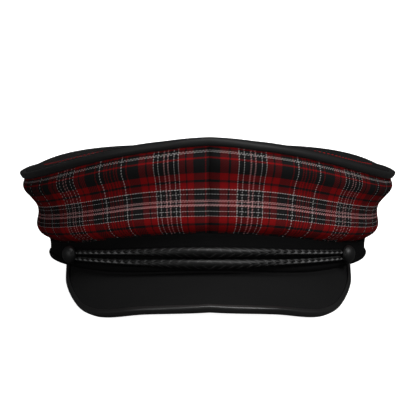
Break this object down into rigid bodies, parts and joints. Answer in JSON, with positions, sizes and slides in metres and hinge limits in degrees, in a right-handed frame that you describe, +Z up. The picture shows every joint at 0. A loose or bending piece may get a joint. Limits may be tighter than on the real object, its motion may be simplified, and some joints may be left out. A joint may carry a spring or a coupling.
{
  "type": "cadet cap",
  "caption": "Cadet cap with a flared tartan side wall, a domed black top edged with piping, a black band with plaited cords between buttons, and a drooping bound peak.",
  "frame": {"origin": "on the table under the middle of the cap's bounding box", "axes": "+Z up from the table, -Y to the cap's front and its peak, +X to the wearer's left. The cap lies tipped back by 5.8 degrees, on the peak's two corners and the back of its band."},
  "size_m": [0.21, 0.26, 0.0968],
  "materials": {
    "tartan_cloth": "matt woven twill, red and black tartan with white lines",
    "black_cloth": "matt wool cloth",
    "black_leather": "satin",
    "black_braid": "silky plaited cord",
    "black_enamel": "semi-gloss"
  },
  "bodies": {
    "root": {"side_panel_left": "tartan_cloth", "side_panel_right": "tartan_cloth", "crown_top": "black_cloth", "crown_piping": "black_leather", "head_band": "black_cloth", "peak": "black_leather", "peak_binding": "black_leather", "chin_cord_upper": "black_braid", "chin_cord_lower": "black_braid", "button_left": "black_enamel", "button_right": "black_enamel"}
  },
  "joints": []
}
